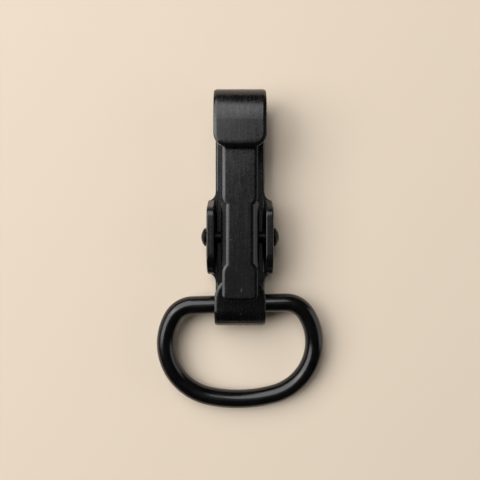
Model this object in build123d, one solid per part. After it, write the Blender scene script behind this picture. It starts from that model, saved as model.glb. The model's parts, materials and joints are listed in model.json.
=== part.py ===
from build123d import *

import os
from math import asin, atan2, cos, degrees, hypot, pi, radians, sin, sqrt, tan

# A sheet-steel flip clasp: a folded hook body, a sprung gate on a rivet, and a D-ring for webbing.
#
# The body is one strip of steel. Its top is rolled forward into a hook, its foot is folded into an eye that
# holds the D-ring, and two ears stand up from its edges to carry the gate's rivet. The gate is a second
# pressing: a flat lever whose middle is flanged into a channel, so that the rivet and a torsion spring fit
# inside it. The spring holds the gate's tip against the inside of the hook's lip.
#
# Frame: X across the strip, +Y towards the hook, +Z up. The clasp lies on its back. The origin is on the
# back face, on the centre line, straight under the rivet.

# Driving dimensions, in millimetres and degrees

# Body strip
sheet = 1.5
strip_width = 10.3
inner_edge_round = 0.5  # edges on the inside of the bends
hook_depth = 11.0  # from the back face to the front of the lip
hook_reach = 24.3  # from the rivet to the centre of the hook's bend
lip_length = 6.9  # from the centre of the bend to the lip's tip
lip_corner = 2.7
lip_ease_radius = 20.0  # the bend eases into the lip's flat, with no hard line
lip_ease_turn = 6.0
nose_radius = 3.6  # the lip's tip is turned down a little
nose_turn = 20.0

# Punched edges, rolled over on the outer face of the strip and of the gate
roll_width = 0.5
roll_drop = 0.22
roll_blend = 1.0  # radius between the slope and the face
roll_corner = 0.15  # radius between the slope and the cut edge
roll_margin = 8.0  # creases within this of the slope's own angle are its own

# Eye that holds the ring, folded from the foot of the strip
eye_reach = 14.55  # from the rivet to the centre of the fold
eye_clearance = 0.25  # between the ring's wire and the fold
leaf_reach = 7.4  # from the rivet to the leaf's rounded end
leaf_rise = 4.0  # how far the leaf opens away from the back

# Ears that carry the rivet
ear_height = 8.2
ear_front = 7.7  # from the rivet to the ear's end towards the hook, at its foot
ear_rear = 7.6  # the same, towards the ring
ear_upright = 2.5  # height at which the ear's front end starts to lean back
ear_lean = 20.0
ear_lean_round = 3.0
ear_front_round = 2.0
ear_rear_round = 4.3
ear_foot_round = 1.7  # hollow corner where an ear leaves the strip
ear_bend_inner = 0.5
ear_edge_round = 0.25
ear_foot_fade = 0.8  # run over which the hollow corner dies out along the strip

# Rivet
rivet_diameter = 2.4
rivet_height = 4.6  # axis above the back face
rivet_clearance = 0.06  # radial, in the ears and in the gate
rivet_head_diameter = 3.7
rivet_head_rim = 0.25
formed_head_height = 0.95  # on -X
peened_head_height = 1.0  # on +X
rivet_end_play = 0.3  # between a head and its ear

# Gate
gate_sheet = 1.0
gate_width = 7.0
gate_reach = 19.0  # from the rivet to the gate's tip
gate_tail = 12.6  # from the rivet to the end of the thumb tab
gate_seat_gap = 0.1  # between the gate and the inside of the lip
gate_corner = 1.3
gate_edge_round = 0.3  # edges on its underside
flange_front = 7.3  # from the rivet to the flanges' front ends
flange_rear = 6.2
flange_face = 4.0  # flat face left between the bends
flange_bend_inner = 0.35
shoulder_turn = 45.0  # a flange turns down in two bends, with a sloping shoulder between them
shoulder = 0.6
flange_end_round = 1.1  # the flanges' ends, seen from the front
flange_corner = 1.2
flange_foot_gap = 0.3  # between the flanges' lobes and the back
flange_front_rise = 18.0  # slope of the flanges' lower edge in front of the lobe
flange_rear_rise = 15.0
neck_run = 2.0  # length over which the lever narrows between its flanges
neck_round = 2.0

# Torsion spring
spring_wire = 0.7
spring_turns = 3
spring_pitch = 0.75
spring_clearance = 0.2  # between the coil and the rivet
spring_seat_gap = 0.05  # between a leg and what it presses on
gate_leg_reach = 8.4  # from the rivet to the end of the leg under the gate
back_leg_reach = 6.4  # the same for the leg on the back

# D-ring
ring_wire = 3.75
ring_bar = 19.1  # straight stretch, between the corners
ring_corner_radius = 4.9  # radii of the wire's middle line
ring_corner_turn = 58.5
ring_side_radius = 11.4
ring_side_turn = 108.0
ring_lift = 0.15  # of the wire above the floor of the eye
ring_play = 0.75  # the wire lies this far from the centre of the fold, towards the rivet
ring_slide = 0.23  # the loose ring lies off the middle, to -X
ring_lean = 1.7  # and slightly askew

# Worked out from the sizes above
half_width = strip_width / 2
eye_radius = ring_wire / 2 + eye_clearance + sheet / 2  # middle of the sheet
ear_bend_outer = ear_bend_inner + sheet
ear_outer = half_width + sheet
nose_drop = (nose_radius - sheet / 2) * (1 - cos(radians(nose_turn)))  # of the lip's inside, at its tip
gate_top = hook_depth - sheet - nose_drop - gate_seat_gap
gate_under = gate_top - gate_sheet
flange_bend_outer = flange_bend_inner + gate_sheet
lobe_radius = rivet_height - sheet - flange_foot_gap
hole_radius = rivet_diameter / 2 + rivet_clearance
ring_y = ring_play - eye_reach
ring_z = sheet + ring_lift + ring_wire / 2
ring_last_turn = 180 - ring_corner_turn - ring_side_turn


def bend_path(start, heading, steps):
    """A strip's middle line. A step is a straight length, or a bend's (radius, turn); + turns left."""
    place, way, line = Vector(*start), Vector(*heading), []
    for step in steps:
        if isinstance(step, tuple):
            line.append(JernArc(place, way, step[0], step[1]))
        else:
            line.append(Line(place, place + way * step))
        place, way = line[-1] @ 1, line[-1] % 1
    return line


def creases(solid, least=32, most=180):
    """Edges where two faces meet at an angle between these, so without a flat's seams to its bends."""
    meeting = {}
    for face in solid.faces():
        for edge in face.edges():
            meeting.setdefault(edge, []).append(face)
    edges = []
    for edge, faces in meeting.items():
        if len(faces) == 2:
            first, second = (face.normal_at(edge @ 0.5) for face in faces)
            if least < first.get_angle(second) < most:
                edges.append(edge)
    return ShapeList(edges)


def rolled(solid, edge):
    """Rolls the edges of a flat or bent face over, all round: a slope that blends into the face."""
    beside = [face for face in solid.faces() if edge in face.edges()]
    upright = [abs(face.normal_at(edge @ 0.5).Z) for face in beside]
    solid = solid.chamfer(roll_width, roll_drop, [edge], beside[upright.index(max(upright))])
    slope = degrees(atan2(roll_drop, roll_width))
    return fillet(creases(solid, slope - roll_margin, slope + roll_margin), roll_blend)


def round_bar(radius, reach):
    """A cylinder along X on the rivet's axis, for holes and shanks."""
    return Pos(0, 0, rivet_height) * Rot(0, 90, 0) * Cylinder(radius, 2 * reach)


def strip_line(shift):
    """The bent strip seen from its side, as a line this far outside the middle of the sheet."""
    ease, nose = radians(lip_ease_turn), radians(nose_turn)
    rise = radians(leaf_rise)
    depth = hook_depth - sheet
    ease_drop = lip_ease_radius * (1 - cos(ease))
    bend = (depth - ease_drop) / (1 + cos(ease))
    flat_end = hook_reach + (bend - lip_ease_radius) * sin(ease)
    flat = flat_end - nose_radius * sin(nose) - (hook_reach - lip_length)
    tip = Vector(hook_reach - lip_length, hook_depth - sheet / 2 - nose_radius * (1 - cos(nose)))
    heading = Vector(cos(nose), sin(nose))
    leaf = (eye_reach - leaf_reach + eye_radius * sin(rise)) / cos(rise)
    return bend_path(
        tip + Vector(-heading.Y, heading.X) * shift,
        heading,
        [
            (nose_radius + shift, -nose_turn),
            flat,
            (lip_ease_radius + shift, -lip_ease_turn),
            (bend + shift, lip_ease_turn - 180),
            hook_reach + eye_reach,
            (eye_radius + shift, leaf_rise - 180),
            leaf + sheet,  # the surplus is cut away when the leaf's end is rounded
        ],
    )


def outer_side(edges):
    """Of the strip's edges, those on the side that its bends stretch."""
    line = strip_line(sheet / 2)
    stretched = ShapeList()
    for edge in edges:
        place = edge @ 0.5
        if min(part.distance_to(Vector(place.Y, place.Z)) for part in line) < sheet / 2:
            stretched.append(edge)
    return stretched


def trimmed(body, outline, end_y, reach, floor):
    """The body, cut to a front outline within reach of end_y and above the floor."""
    ahead = Pos(0, end_y) * Rectangle(2 * strip_width, 2 * reach)
    return body - extrude(Pos(0, 0, floor) * (ahead - outline), hook_depth)


def strip():
    """The body without its ears: lip, hook, back, eye and leaf, bent from one flat strip."""
    body = extrude(Plane.YZ * trace(strip_line(0), line_width=sheet), half_width, both=True)

    tip = hook_reach - lip_length
    lip = Pos(0, tip) * Rectangle(strip_width, hook_reach, align=(Align.CENTER, Align.MIN))
    lip = fillet(lip.vertices().group_by(Axis.Y)[0], lip_corner)
    body = trimmed(body, lip, tip, lip_corner, hook_depth - 2 * sheet)
    leaf = Rectangle(strip_width, eye_reach, align=(Align.CENTER, Align.MAX)) + Circle(half_width)
    leaf = Pos(0, -leaf_reach - half_width) * leaf
    body = trimmed(body, leaf, -leaf_reach, half_width, 2 * sheet)

    body = rolled(body, outer_side(creases(body)).sort_by(SortBy.LENGTH)[-1])
    body = fillet(outer_side(creases(body)), roll_corner)
    return fillet(creases(body), inner_edge_round)


def ear():
    """The ear on +X: a flap of the strip, bent up, with its outline cut before bending."""
    root = half_width - ear_bend_inner - sheet
    line = bend_path(
        (root, sheet / 2),
        (1, 0),
        [sheet, ((ear_bend_inner + ear_bend_outer) / 2, 90), ear_height],
    )
    length = ear_front + ear_rear + 2 * strip_width
    flap = extrude(Plane.XZ * trace(line, line_width=sheet), length / 2, both=True)

    front_top = ear_front - (ear_height - ear_upright) * tan(radians(ear_lean))
    corners = [(-ear_rear, ear_height), (front_top, ear_height), (ear_front, ear_upright)]
    side = make_face(Polyline((-ear_rear, 0), *corners, (ear_front, 0), close=True))
    for corner, radius in zip(corners, [ear_rear_round, ear_front_round, ear_lean_round]):
        side = fillet(side.vertices().sort_by_distance(corner)[0], radius)
    plate = flap & extrude(Plane.YZ * side, ear_outer + sheet)
    rim = creases(plate).filter_by_position(Axis.X, half_width - inner_edge_round, ear_outer + sheet)
    plate = fillet(rim, ear_edge_round)

    # hollow corners between the strip's edge and the ear's ends, which fade out along the strip
    rear = JernArc((half_width, -ear_rear - ear_foot_round), (0, 1), ear_foot_round, -90)
    front = JernArc((half_width + ear_foot_round, ear_front), (-1, 0), ear_foot_round, -90)
    fade = Vector(-ear_foot_fade, ear_foot_fade)
    back_fade = rear @ 0 + Vector(fade.X, -fade.Y)
    front_fade = front @ 1 + fade
    inside = [front @ 1, front_fade, (root, ear_front), (root, -ear_rear), back_fade, rear @ 0]
    web = make_face([rear, Line(rear @ 1, front @ 0), front, Polyline(*inside)])
    return plate + (flap & extrude(web, sheet))


def hook_body():
    """The pressing, made as its +X half and mirrored."""
    half = split(strip(), bisect_by=Plane.YZ, keep=Keep.TOP) + ear()
    half -= round_bar(hole_radius, ear_outer + sheet)
    return half + mirror(half, about=Plane.YZ)


def gate():
    """The sprung lever: a flat pressing with its middle flanged down into a channel on the rivet."""
    neck = flange_face / 2
    wide = gate_width / 2
    right = [
        (wide, gate_reach),
        (wide, flange_front),
        (neck, flange_front - neck_run),
        (neck, neck_run - flange_rear),
        (wide, -flange_rear),
        (wide, -gate_tail),
    ]
    left = [(-x, y) for x, y in reversed(right)]
    plan = make_face(Polyline(*right, *left, close=True))
    ends = [corner for corner in plan.vertices() if corner.Y in (gate_reach, -gate_tail)]
    necks = [corner for corner in plan.vertices() if corner not in ends]
    plan = fillet(ends, gate_corner)
    necks = [plan.vertices().sort_by_distance(corner.center())[0] for corner in necks]
    plan = fillet(necks, neck_round)
    lever = extrude(Pos(0, 0, gate_under) * plan, gate_sheet)
    lever = rolled(lever, lever.faces().sort_by(Axis.Z)[-1].edges().sort_by(SortBy.LENGTH)[-1])
    lever = fillet(lever.faces().sort_by(Axis.Z)[0].edges(), gate_edge_round)
    lever = fillet(creases(lever), roll_corner)

    middle = (flange_bend_inner + flange_bend_outer) / 2
    line = bend_path(
        (-neck, gate_top - gate_sheet / 2),
        (1, 0),
        [flange_face, (middle, -shoulder_turn), shoulder, (middle, shoulder_turn - 90), gate_top],
    )
    half = trace(line, line_width=gate_sheet)
    length = 2 * (flange_front + flange_rear)
    channel = extrude(Plane.XZ * (half + mirror(half, about=Plane.YZ)), length / 2, both=True)

    side = flange_side()
    channel &= extrude(Plane.YZ * side, 2 * gate_width, both=True)
    channel_width = flange_face + 2 * (flange_bend_outer + shoulder * cos(radians(shoulder_turn)))
    ends = RectangleRounded(channel_width, flange_front + flange_rear, flange_end_round)
    channel &= extrude(Pos(0, (flange_front - flange_rear) / 2) * ends, hook_depth)
    body = lever + channel
    return body - round_bar(hole_radius, gate_width)


def flange_side():
    """The flanges' outline from the side: a lobe round the rivet, with edges that rise to both ends."""
    front_slope, rear_slope = radians(flange_front_rise), radians(flange_rear_rise)
    front_foot = rivet_height + flange_front * tan(front_slope) - lobe_radius / cos(front_slope)
    rear_foot = rivet_height + flange_rear * tan(rear_slope) - lobe_radius / cos(rear_slope)
    hub = Vector(0, rivet_height)
    front_touch = hub + Vector(sin(front_slope), -cos(front_slope)) * lobe_radius
    rear_touch = hub + Vector(-sin(rear_slope), -cos(rear_slope)) * lobe_radius
    lowest = hub - Vector(0, lobe_radius)
    outline = [
        Polyline(front_touch, (flange_front, front_foot), (flange_front, gate_top)),
        Line((flange_front, gate_top), (-flange_rear, gate_top)),
        Polyline((-flange_rear, gate_top), (-flange_rear, rear_foot), rear_touch),
        ThreePointArc(rear_touch, lowest, front_touch),
    ]
    side = make_face(outline)
    feet = [(flange_front, front_foot), (-flange_rear, rear_foot)]
    return fillet([side.vertices().sort_by_distance(foot)[0] for foot in feet], flange_corner)


def rivet_head(height):
    """A thin domed head, its flat face on the ground and its crown up."""
    radius = rivet_head_diameter / 2
    crown = height - rivet_head_rim
    dome = (radius**2 + crown**2) / (2 * crown)
    rim = Cylinder(radius, rivet_head_rim, align=(Align.CENTER, Align.CENTER, Align.MIN))
    cap = Pos(0, 0, height - dome) * Sphere(dome) & Pos(0, 0, rivet_head_rim) * Cylinder(
        radius, 2 * crown, align=(Align.CENTER, Align.CENTER, Align.MIN)
    )
    return rim + cap


def pivot_rivet():
    seat = ear_outer + rivet_end_play
    shank = round_bar(rivet_diameter / 2, seat)
    formed = Pos(-seat, 0, rivet_height) * Rot(0, -90, 0) * rivet_head(formed_head_height)
    peened = Pos(seat, 0, rivet_height) * Rot(0, 90, 0) * rivet_head(peened_head_height)
    return shank + formed + peened


def gate_spring():
    """A torsion spring on the rivet. One leg presses the gate up, the other bears on the back."""
    coil_radius = rivet_diameter / 2 + spring_clearance + spring_wire / 2
    rise = atan2(spring_pitch, 2 * pi * coil_radius)
    gate_end = (gate_leg_reach, gate_under - spring_seat_gap - spring_wire / 2 - rivet_height)
    back_end = (-back_leg_reach, sheet + spring_seat_gap + spring_wire / 2 - rivet_height)
    gate_span, back_span = hypot(*gate_end), hypot(*back_end)
    gate_heading = atan2(gate_end[1], gate_end[0]) - asin(coil_radius / gate_span)
    back_heading = atan2(-back_end[1], -back_end[0]) + asin(coil_radius / back_span)
    gate_leg = sqrt(gate_span**2 - coil_radius**2)
    back_leg = sqrt(back_span**2 - coil_radius**2)
    turns = spring_turns + (back_heading - gate_heading) / (2 * pi)
    height = turns * spring_pitch

    coil = Helix(spring_pitch, height, coil_radius, lefthand=True)
    start, finish = coil @ 0, coil @ 1
    path = Wire(
        [
            Edge.make_line(start - (coil % 0) * back_leg / cos(rise), start),
            *coil.edges(),
            Edge.make_line(finish, finish + (coil % 1) * gate_leg / cos(rise)),
        ]
    )
    begin = Plane(origin=path @ 0, z_dir=path % 0)
    wire = sweep(begin * Circle(spring_wire / 2), path=path)
    across = Plane((0, 0, rivet_height), x_dir=(0, 1, 0), z_dir=(1, 0, 0))
    return across * (Pos(0, 0, -height / 2) * Rot(0, 0, 90 + degrees(back_heading)) * wire)


def d_ring():
    """Round wire bent to a D and welded shut: straight bar, tight corners, easy sides and a shallow bow."""
    half_bar = ring_bar / 2
    corner, side = radians(ring_corner_turn), radians(ring_corner_turn + ring_side_turn)
    widest = half_bar + ring_corner_radius * sin(corner) + ring_side_radius * (sin(side) - sin(corner))
    bow_radius = widest / sin(side)
    half = bend_path(
        (0, 0),
        (1, 0),
        [
            half_bar,
            (ring_corner_radius, -ring_corner_turn),
            (ring_side_radius, -ring_side_turn),
            (bow_radius, -ring_last_turn),
        ],
    )
    path = Wire([edge for piece in half for edge in piece.edges()])
    height = -(path @ 1).Y
    wire = sweep(Plane.YZ * Circle(ring_wire / 2), path=path)
    ring = wire + mirror(wire, about=Plane.YZ)
    droop = degrees(asin((ring_z - ring_wire / 2) / height))
    return Pos(-ring_slide, ring_y, ring_z) * Rot(0, 0, ring_lean) * Rot(droop, 0, 0) * ring


pieces = {
    "hook_body": hook_body(),
    "gate": gate(),
    "pivot_rivet": pivot_rivet(),
    "gate_spring": gate_spring(),
    "d_ring": d_ring(),
}

os.makedirs("parts", exist_ok=True)
for name, piece in pieces.items():
    export_step(piece, f"parts/{name}.step")
    box = piece.bounding_box()
    print(f"{name}: {len(piece.solids())} solid, {piece.volume:.1f} mm3, valid {piece.is_valid}, {box}")
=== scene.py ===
# %% [markdown]
# # A black flip clasp
# The clasp is five pieces: a folded steel strip with a hook at its head and an eye at its foot, a lever gate,
# the rivet that the gate turns on, a torsion spring hidden inside the gate, and a loose D-ring. Their true
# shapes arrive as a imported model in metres: +X runs across the strip, +Y towards the hook, and +Z is up.
# The clasp lies on its back, so everything that this lesson adds is placed from that frame.

# %% Load the model
import json
from math import asin, atan2, cos, hypot, pi, sin, sqrt

import bmesh
import bpy
from mathutils import Matrix, Vector


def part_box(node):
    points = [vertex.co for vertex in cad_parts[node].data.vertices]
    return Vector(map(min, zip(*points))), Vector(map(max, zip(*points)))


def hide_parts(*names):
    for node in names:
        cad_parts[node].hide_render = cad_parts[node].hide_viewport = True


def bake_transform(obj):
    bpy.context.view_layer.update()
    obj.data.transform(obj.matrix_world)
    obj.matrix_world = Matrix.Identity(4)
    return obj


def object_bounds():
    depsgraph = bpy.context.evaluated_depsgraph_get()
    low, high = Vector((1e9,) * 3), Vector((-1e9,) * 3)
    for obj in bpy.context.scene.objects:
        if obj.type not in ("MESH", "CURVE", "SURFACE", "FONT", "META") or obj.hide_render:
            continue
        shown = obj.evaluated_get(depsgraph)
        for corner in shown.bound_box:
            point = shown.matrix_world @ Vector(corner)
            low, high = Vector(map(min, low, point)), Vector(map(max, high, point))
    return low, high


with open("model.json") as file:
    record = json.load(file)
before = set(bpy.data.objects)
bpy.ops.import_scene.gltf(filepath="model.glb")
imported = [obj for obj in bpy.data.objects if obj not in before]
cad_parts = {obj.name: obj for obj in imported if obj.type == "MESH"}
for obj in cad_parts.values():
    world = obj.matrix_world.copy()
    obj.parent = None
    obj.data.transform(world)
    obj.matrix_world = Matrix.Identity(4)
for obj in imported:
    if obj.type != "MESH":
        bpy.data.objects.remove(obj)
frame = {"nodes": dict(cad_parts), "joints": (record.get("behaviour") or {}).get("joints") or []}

MM = 0.001
nodes = frame["nodes"]
scene = bpy.context.scene
cad_low, cad_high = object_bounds()
print("pieces:", sorted(nodes), "| size in mm:", [round(v / MM, 1) for v in cad_high - cad_low])

# %% [markdown]
# ## The camera
# A small clasp is shown best from straight above, close up. A camera without rotation already looks down -Z
# with +Y at the top of the picture, so only its height and its focal length need choosing. Working close
# makes the raised lip and gate look wider than the back plate below them, which suits so small a thing.

# %% Set up the camera
CAMERA_HEIGHT = 109 * MM
CAMERA_Y = -0.6 * MM  # the middle of the picture is just below the rivet
LENS = 38.3  # in mm, for the default sensor, which is 36 mm wide
NEAREST = 5 * MM  # the default of 100 mm would cut away the top of the hook

camera = bpy.data.objects.new("camera", bpy.data.cameras.new("camera"))
camera.data.lens = LENS
camera.data.clip_start = NEAREST
camera.location = (0, CAMERA_Y, CAMERA_HEIGHT)
scene.collection.objects.link(camera)
scene.camera = camera
scene.view_settings.view_transform = "Standard"
print("camera", CAMERA_HEIGHT / MM, "mm above the table")

# %% [markdown]
# ## Nodes and colours
# Every material here is a small node tree. One function adds a node with its settings and its links, and
# one turns a colour as written on screen (sRGB hex) into the linear values that a render works in. Many
# nodes hide the sockets that their settings leave unused, so the adding function looks only at live ones.

# %% Define the helpers for materials


def colour(text):
    """An sRGB hex colour as linear RGBA."""
    channels = [int(text[i : i + 2], 16) / 255 for i in (1, 3, 5)]
    linear = [c / 12.92 if c <= 0.04045 else ((c + 0.055) / 1.055) ** 2.4 for c in channels]
    return (*linear, 1.0)


def add(tree, kind, settings=None, **inputs):
    """Adds a node. Settings are its properties. An input is a value, a socket, or a node that feeds it
    from its first live output. Inputs go by name, or as i0, i1, i2 where several share one name."""
    node = tree.nodes.new(kind)
    for name, value in (settings or {}).items():
        setattr(node, name, value)
    live = [socket for socket in node.inputs if socket.enabled]
    named = {socket.name: socket for socket in reversed(live)}
    for name, value in inputs.items():
        socket = live[int(name[1:])] if name[1:].isdigit() else named[name.replace("_", " ")]
        if isinstance(value, bpy.types.Node):
            value = next(output for output in value.outputs if output.enabled)
        if isinstance(value, bpy.types.NodeSocket):
            tree.links.new(value, socket)
        else:
            socket.default_value = value
    return node


def new_material(name):
    """An empty material, and its node tree."""
    material = bpy.data.materials.new(name)
    material.use_nodes = True
    material.node_tree.nodes.clear()
    return material, material.node_tree


print("mid grey on screen is", round(colour("#808080")[0], 3), "in linear light")

# %% [markdown]
# ## The table
# Black paint has almost no colour of its own: what it shows is what stands round it. So the set is chosen
# for its reflections, and a pale, warm table glows in every edge that looks sideways. It could be a cloth or
# a wooden top, but a plain board leaves the clasp's own pattern as the only one.

# %% Make the table
TABLE_SIZE = 1.6
TABLE_GAP = 0.02 * MM  # so that the table and the clasp's back are not in the same plane

mesh = bpy.data.meshes.new("table")
bm = bmesh.new()
bmesh.ops.create_grid(bm, x_segments=1, y_segments=1, size=TABLE_SIZE / 2)
bmesh.ops.translate(bm, verts=bm.verts, vec=(0, 0, cad_low.z - TABLE_GAP))
bm.to_mesh(mesh)
bm.free()
table = bpy.data.objects.new("table", mesh)
scene.collection.objects.link(table)
print("table", TABLE_SIZE, "m across")

# %% Paint the table
# Matt paint on board: it scatters light evenly and has hardly any highlight, so it reads as a soft ground.
TABLE_CREAM = "#e8d8c4"
TABLE_ROUGH = 0.9
TABLE_GLOSS = 0.2

material, tree = new_material("warm_table")
surface = add(
    tree,
    "ShaderNodeBsdfPrincipled",
    Base_Color=colour(TABLE_CREAM),
    Roughness=TABLE_ROUGH,
    Specular_IOR_Level=TABLE_GLOSS,
)
add(tree, "ShaderNodeOutputMaterial", Surface=surface)
mesh.materials.append(material)
print("table colour, linear:", [round(v, 2) for v in colour(TABLE_CREAM)[:3]])

# %% [markdown]
# ## The lamps
# One large soft lamp hangs up and to the left, and is the bright streak in each bend. Alone, it would leave
# the edges that face away from it lost in black. So a weaker card stands on each side, the left one higher
# and brighter, and a very weak one hangs overhead, where the flats reflect it.

# %% Hang the lamps
LAMP_DISTANCE = 0.9
LAMPS = {  # where each hangs, seen from the clasp; its edge in metres; its watts
    "key_lamp": ((-0.50, 0.62, 0.97), 0.90, 8.6),
    "left_card": ((-1.0, 0.0, 0.84), 0.60, 4.0),
    "right_card": ((1.0, 0.0, 0.25), 0.70, 1.6),
    "top_card": ((-0.06, -0.02, 1.0), 0.32, 0.08),
}

for name, (direction, size, power) in LAMPS.items():
    away = Vector(direction).normalized()
    lamp = bpy.data.objects.new(name, bpy.data.lights.new(name, "AREA"))
    lamp.data.shape = "SQUARE"
    lamp.data.size = size
    lamp.data.energy = power
    lamp.location = away * LAMP_DISTANCE
    lamp.rotation_euler = away.to_track_quat("Z", "Y").to_euler()  # a lamp shines along its own -Z
    scene.collection.objects.link(lamp)
    print(name, "at", [round(v, 2) for v in lamp.location], "m,", power, "W")

# %% [markdown]
# ## The room
# A bright room would lie as a grey veil on black paint, so the clasp is given a dim one, and the black bands
# between the highlights stay black. The camera alone is shown a pale backdrop past the table's edge. The
# Light Path node tells the two apart.

# %% Dim the room
ROOM_LEVEL = 0.02  # what the clasp sees beyond the lamps
ROOM_WHITE = "#fff6ec"
BACKDROP_LEVEL = 0.8  # what the camera sees beyond the table
BACKDROP_WHITE = "#f4efe8"

world = bpy.data.worlds.new("dim_room")
scene.world = world
world.use_nodes = True
tree = world.node_tree
tree.nodes.clear()
room = add(tree, "ShaderNodeBackground", Color=colour(ROOM_WHITE), Strength=ROOM_LEVEL)
backdrop = add(tree, "ShaderNodeBackground", Color=colour(BACKDROP_WHITE), Strength=BACKDROP_LEVEL)
ray = add(tree, "ShaderNodeLightPath")
seen = add(tree, "ShaderNodeMixShader", i0=ray.outputs["Is Camera Ray"], i1=room, i2=backdrop)
add(tree, "ShaderNodeOutputWorld", Surface=seen)
print("room", ROOM_LEVEL, "| backdrop", BACKDROP_LEVEL)

# %% [markdown]
# ## Satin black paint
# The folded body and the gate are stamped steel, dipped in black paint and baked. The paint is thin, so it
# shows three things: the fine pebble of baked paint (orange peel), faint lines that run along the strip
# because the sheet was rolled that way, and cloudy patches where the film is a little duller. Each could be
# sculpted or drawn as an image. Procedural noise is chosen, because its grain can be set in millimetres and
# it follows the piece when it moves. Almost all of what the eye sees is reflection, so the patterns go into
# roughness and bump, and only a little into colour.

# %% Write down the paint's real sizes
PEEL_SIZE = 0.35 * MM  # a pebble of the baked film
PEEL_DEPTH = 0.012 * MM
PEEL_STRENGTH = 0.6
LINE_WIDTH = 0.28 * MM  # rolling lines: real ones are finer, and would not show
LINE_LENGTH = 7 * MM
LINE_SHARE = 0.5  # their height, beside a pebble's
CLOUD_SIZE = 3.0 * MM
SPECK_SPACING = 1.9 * MM  # dust caught in the film
SPECK_SIZE = 0.055 * MM
PAINT_ROUGH = 0.25
PEEL_DULL, LINE_DULL, CLOUD_DULL = 0.06, 0.06, 0.03  # how far each changes the roughness
PAINT_GLOSS = 0.5
PAINT_BLACK, PAINT_DUSTY, SPECK_GREY = "#050506", "#0c0c0e", "#77746f"
DUST_FROM, DUST_FULL = 0.15, 0.40  # where clouds times peel begins to look dusty, and is fully so
print("pebbles of", PEEL_SIZE / MM, "mm, lines of", LINE_WIDTH / MM, "mm, clouds of", CLOUD_SIZE / MM, "mm")

# %% Make patterns from noise
NOISE_LOW, NOISE_HIGH = 0.3, 0.7  # noise spends nearly all its time between these
NOISE_DETAIL = 3.0  # how many finer layers each blob holds
NOISE_HARSHNESS = 0.6  # how strong the finer layers are


def mottle(tree, place, width, length):
    """Blobs of a real size: this wide across the strip, this long along it and through it."""
    scaled = add(tree, "ShaderNodeMapping", Vector=place, Scale=(1 / width, 1 / length, 1 / length))
    detail = {"Detail": NOISE_DETAIL, "Roughness": NOISE_HARSHNESS}
    return add(tree, "ShaderNodeTexNoise", Vector=scaled, Scale=1.0, **detail)


def drifting_colour(tree, pattern, first, second, low=NOISE_LOW, high=NOISE_HIGH):
    """One colour that drifts into another where a pattern rises from low to high."""
    amount = add(tree, "ShaderNodeMapRange", Value=pattern, From_Min=low, From_Max=high)
    return add(tree, "ShaderNodeMix", {"data_type": "RGBA"}, Factor=amount, A=first, B=second)


def uneven_roughness(tree, middle, *patterns):
    """Roughness that strays from its middle value, by each pattern in turn as far as that one's swing."""
    rough = middle
    for pattern, swing in patterns:
        limits = {"From_Min": NOISE_LOW, "From_Max": NOISE_HIGH, "To_Min": -swing, "To_Max": swing}
        stray = add(tree, "ShaderNodeMapRange", Value=pattern, **limits)
        rough = add(tree, "ShaderNodeMath", {"operation": "ADD"}, i0=rough, i1=stray)
    return rough


def finish_material(material, tree, **inputs):
    """Closes a material: its shader, and the output."""
    surface = add(tree, "ShaderNodeBsdfPrincipled", **inputs)
    add(tree, "ShaderNodeOutputMaterial", Surface=surface)
    print(material.name, "has", len(tree.nodes), "nodes")
    return material


print("noise is read from", NOISE_LOW, "to", NOISE_HIGH)

# %% Mix the satin paint
SCRATCH_GREY = "#5c5c5e"  # worn steel, where the paint is gone
SCRATCH_CORE = 0.5  # the inner share of a scratch that is wholly bare


def satin_black_paint(name, scratch=None):
    """Baked satin paint: to the eye a deep black with a soft, slightly grainy sheen along each bend.
    A scratch is the middle and the half size of a bare mark, in metres."""
    material, tree = new_material(name)
    place = add(tree, "ShaderNodeTexCoord").outputs["Object"]
    peel = mottle(tree, place, PEEL_SIZE, PEEL_SIZE)
    lines = mottle(tree, place, LINE_WIDTH, LINE_LENGTH)
    clouds = mottle(tree, place, CLOUD_SIZE, CLOUD_SIZE)

    dust = add(tree, "ShaderNodeMath", {"operation": "MULTIPLY"}, i0=clouds, i1=peel)
    base = drifting_colour(tree, dust, colour(PAINT_BLACK), colour(PAINT_DUSTY), DUST_FROM, DUST_FULL)
    cells = add(tree, "ShaderNodeTexVoronoi", Vector=place, Scale=1 / SPECK_SPACING)
    speck = add(tree, "ShaderNodeMath", {"operation": "LESS_THAN"}, i0=cells, i1=SPECK_SIZE / SPECK_SPACING)
    base = add(tree, "ShaderNodeMix", {"data_type": "RGBA"}, Factor=speck, A=base, B=colour(SPECK_GREY))
    if scratch:
        middle, half_size = scratch
        offset = add(tree, "ShaderNodeVectorMath", {"operation": "SUBTRACT"}, i0=place, i1=middle)
        scaled = add(tree, "ShaderNodeVectorMath", {"operation": "DIVIDE"}, i0=offset, i1=half_size)
        reach = add(tree, "ShaderNodeVectorMath", {"operation": "LENGTH"}, i0=scaled)
        base = drifting_colour(tree, reach, colour(SCRATCH_GREY), base, SCRATCH_CORE, 1.0)

    rough = uneven_roughness(tree, PAINT_ROUGH, (peel, PEEL_DULL), (lines, LINE_DULL), (clouds, CLOUD_DULL))
    height = add(tree, "ShaderNodeMath", {"operation": "MULTIPLY_ADD"}, i0=lines, i1=LINE_SHARE, i2=peel)
    bump = add(tree, "ShaderNodeBump", Strength=PEEL_STRENGTH, Distance=PEEL_DEPTH, Height=height)
    inputs = {"Base_Color": base, "Roughness": rough, "Specular_IOR_Level": PAINT_GLOSS, "Normal": bump}
    return finish_material(material, tree, **inputs)


nodes["hook_body"].material_slots[0].material = satin_black_paint("satin_black_paint")

# %% [markdown]
# ## The gate's thumb tail
# The gate has the same paint, but its tail is where a thumb pushes, and there a nail has left one short pale
# mark. It could be a second mesh laid on top. A soft-edged ellipsoid in the material is simpler: wherever the
# surface passes through it, the colour goes to the grey of worn steel.

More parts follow.
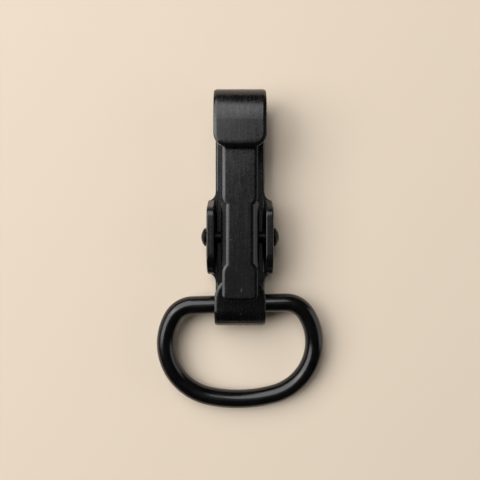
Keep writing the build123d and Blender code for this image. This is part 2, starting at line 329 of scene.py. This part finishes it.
# %% Paint the gate
SCRATCH_FROM_TIP = 2.15 * MM
SCRATCH_OFF_MIDDLE = 0.25 * MM
SCRATCH_HALF_SIZE = (0.07 * MM, 0.45 * MM, 1.0 * MM)  # tall, so that it surely meets the surface

gate_low, gate_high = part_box("gate")
scratch_middle = (SCRATCH_OFF_MIDDLE, gate_low.y + SCRATCH_FROM_TIP, gate_high.z)
worn_paint = satin_black_paint("satin_black_paint_worn", (scratch_middle, SCRATCH_HALF_SIZE))
nodes["gate"].material_slots[0].material = worn_paint
print("scratch at", [round(v / MM, 2) for v in scratch_middle], "mm")

# %% [markdown]
# ## Gloss black wire
# The ring is round wire, bent, welded and dipped by itself. Drawn wire is smoother than rolled sheet, so the
# same paint lies glossier on it, with long soft waves where it ran before it set. A wave a few millimetres
# long bends the highlight a little, and that is what tells the eye that this is a dipped wire and not a
# moulded one.

# %% Paint the ring
WIRE_ROUGH = 0.2
WIRE_BLACK = "#030303"
WIRE_WAVE = 2.6 * MM
WIRE_WAVE_DEPTH = 0.02 * MM
WIRE_WAVE_STRENGTH = 0.4
WIRE_GRAIN = 0.3 * MM
GRAIN_SHARE = 0.06  # the grain's height, beside a wave's
WAVE_DULL, GRAIN_DULL = 0.03, 0.02


def smooth_black(name, black, roughness, gloss):
    """A smooth black skin with soft waves and a faint grain: to the eye one clean, slightly wavy streak."""
    material, tree = new_material(name)
    place = add(tree, "ShaderNodeTexCoord").outputs["Object"]
    wave = mottle(tree, place, WIRE_WAVE, WIRE_WAVE)
    grain = mottle(tree, place, WIRE_GRAIN, WIRE_GRAIN)
    base = drifting_colour(tree, wave, colour(black), colour(PAINT_DUSTY))
    rough = uneven_roughness(tree, roughness, (wave, WAVE_DULL), (grain, GRAIN_DULL))
    height = add(tree, "ShaderNodeMath", {"operation": "MULTIPLY_ADD"}, i0=grain, i1=GRAIN_SHARE, i2=wave)
    bump = add(tree, "ShaderNodeBump", Strength=WIRE_WAVE_STRENGTH, Distance=WIRE_WAVE_DEPTH, Height=height)
    inputs = {"Base_Color": base, "Roughness": rough, "Specular_IOR_Level": gloss, "Normal": bump}
    return finish_material(material, tree, **inputs)


wire_paint = smooth_black("gloss_black_wire_paint", WIRE_BLACK, WIRE_ROUGH, PAINT_GLOSS)
nodes["d_ring"].material_slots[0].material = wire_paint

# %% [markdown]
# ## The blackened rivet
# A rivet is hammered over after the painted parts are put together, so its steel is blackened in a bath
# beforehand and not painted. Oxide is thin and dull: it shows hardly any highlight, and the rivet sinks back
# between the glossier pieces. The ring's recipe serves again, with more roughness and much less gloss.

# %% Blacken the rivet
RIVET_ROUGH = 0.35
RIVET_BLACK = "#040404"
RIVET_GLOSS = 0.1

rivet_black = smooth_black("blackened_rivet_steel", RIVET_BLACK, RIVET_ROUGH, RIVET_GLOSS)
nodes["pivot_rivet"].material_slots[0].material = rivet_black

# %% [markdown]
# ## Oiled spring steel
# Spring wire is pulled through a die and keeps a brown-black film of oil. The eye gets bare grey metal under
# a thin stain, with fine lines where the die dragged. So the material is metallic, and one stretched pattern
# drives its colour, its roughness and its bump together.

# %% Oil the spring steel
SPRING_ROUGH = 0.32
SPRING_DULL = 0.05
SPRING_STAIN, SPRING_GREY = "#232120", "#4a4744"
DRAWING_LINE = 0.05 * MM
DRAWING_DEPTH = 0.002 * MM
DRAWING_STRENGTH = 0.2

material, tree = new_material("oiled_spring_steel")
place = add(tree, "ShaderNodeTexCoord").outputs["Object"]
film = mottle(tree, place, DRAWING_LINE, CLOUD_SIZE)
base = drifting_colour(tree, film, colour(SPRING_STAIN), colour(SPRING_GREY))
rough = uneven_roughness(tree, SPRING_ROUGH, (film, SPRING_DULL))
bump = add(tree, "ShaderNodeBump", Strength=DRAWING_STRENGTH, Distance=DRAWING_DEPTH, Height=film)
spring_steel = finish_material(material, tree, Base_Color=base, Roughness=rough, Metallic=1.0, Normal=bump)

# %% [markdown]
# ## The torsion spring
# Spring wire is wound round a mandrel and its two ends are left straight. The coil sits on the rivet, one leg
# presses up under the gate, and the other rests on the strip. A curve with a bevel would look alike. A real
# winder turns and feeds at the same time, though, and so does bmesh's spin when it is given a step along the
# axis: one circle of wire, spun, is the coil. The end faces are then extruded along the wire's own direction,
# which makes the legs.

# %% Work out the coil and its legs
SPRING_WIRE = 0.7 * MM
COIL_RADIUS = 1.75 * MM  # to the middle of the wire
COIL_PITCH = 0.75 * MM
COIL_TURNS = 3
GATE_SHEET = 1.0 * MM
BODY_SHEET = 1.5 * MM
LEG_GAP = 0.05 * MM
GATE_LEG_REACH = 8.4 * MM
BACK_LEG_REACH = 6.4 * MM

hinge = next(joint for joint in frame["joints"] if joint["name"] == "gate_hinge")
pivot = Vector(hinge["pos_m"])
under_gate = gate_high.z - GATE_SHEET - LEG_GAP - SPRING_WIRE / 2
on_strip = cad_low.z + BODY_SHEET + LEG_GAP + SPRING_WIRE / 2
gate_leg_end = (GATE_LEG_REACH, under_gate - pivot.z)  # seen from the pivot: along +Y, and up
back_leg_end = (-BACK_LEG_REACH, on_strip - pivot.z)

# A leg is a tangent, so the coil's radius turns it a little away from the line between pivot and end.
rise = atan2(COIL_PITCH, 2 * pi * COIL_RADIUS)
gate_heading = atan2(gate_leg_end[1], gate_leg_end[0]) - asin(COIL_RADIUS / hypot(*gate_leg_end))
back_heading = atan2(-back_leg_end[1], -back_leg_end[0]) + asin(COIL_RADIUS / hypot(*back_leg_end))
turn = 2 * pi * COIL_TURNS + back_heading - gate_heading
coil_length = turn / (2 * pi) * COIL_PITCH
print("coil", round(coil_length / MM, 2), "mm long, headings", round(gate_heading, 3), round(back_heading, 3))

# %% Wind the coil
STEPS_A_TURN = 36
WIRE_SIDES = 14

steps = round(STEPS_A_TURN * turn / (2 * pi))
leave = back_heading + pi / 2  # where on the coil the back leg leaves it
along = Vector((sin(rise), cos(rise) * sin(leave), -cos(rise) * cos(leave)))  # the wire's way there
start = pivot + Vector((-coil_length / 2, COIL_RADIUS * cos(leave), COIL_RADIUS * sin(leave)))

bm = bmesh.new()
bmesh.ops.create_circle(bm, cap_ends=True, radius=SPRING_WIRE / 2, segments=WIRE_SIDES)
stand = along.to_track_quat("Z", "Y").to_matrix().to_4x4()
bmesh.ops.transform(bm, matrix=Matrix.Translation(start) @ stand, verts=bm.verts)
bmesh.ops.spin(
    bm,
    geom=bm.verts[:] + bm.edges[:] + bm.faces[:],
    cent=pivot,
    axis=(1, 0, 0),
    dvec=(coil_length / steps, 0, 0),
    angle=-turn,
    steps=steps,
)
print("coil wound in", steps, "steps")

# %% Draw out the legs
END_BEVEL = 0.08 * MM
MERGE_DISTANCE = 0.001 * MM


def leg_length(end):
    """The wire from the coil to a leg's end: a tangent's length, and a little more because it climbs."""
    return sqrt(hypot(*end) ** 2 - COIL_RADIUS**2) / cos(rise)


caps = [face for face in bm.faces if len(face.verts) == WIRE_SIDES]
caps.sort(key=lambda face: face.calc_center_median().x)
gate_along = Vector((sin(rise), cos(rise) * cos(gate_heading), cos(rise) * sin(gate_heading)))
for cap, way, end in [(caps[0], -along, back_leg_end), (caps[-1], gate_along, gate_leg_end)]:
    made = bmesh.ops.extrude_discrete_faces(bm, faces=[cap])["faces"]
    bmesh.ops.translate(bm, verts=made[0].verts[:], vec=way * leg_length(end))
    bmesh.ops.bevel(
        bm,
        geom=made[0].edges[:],
        offset=END_BEVEL,
        segments=2,
        profile=0.5,
        affect="EDGES",
        material=-1,
    )
bmesh.ops.remove_doubles(bm, verts=bm.verts, dist=MERGE_DISTANCE)
bmesh.ops.recalc_face_normals(bm, faces=bm.faces)
for face in bm.faces:
    face.smooth = len(face.verts) == 4  # the wire's sides, and not its flat ends

# The spin lists its faces in another order on each run, so they are put in one that stays.
bm.verts.index_update()
in_order = sorted(bm.faces, key=lambda face: sorted(vert.index for vert in face.verts))
for index, face in enumerate(in_order):
    face.index = index
bm.faces.sort()

open_edges = sum(len(edge.link_faces) != 2 for edge in bm.edges)
mesh = bpy.data.meshes.new("gate_spring_wire")
bm.to_mesh(mesh)
bm.free()
print("spring:", len(mesh.polygons), "faces, open edges:", open_edges)

# %% Set the spring between the body and the gate
# Its back leg rests on the body and its front leg presses up under the gate.
spring = bpy.data.objects.new("gate_spring_wire", mesh)
scene.collection.objects.link(spring)
mesh.materials.append(spring_steel)
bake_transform(spring)
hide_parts("gate_spring")
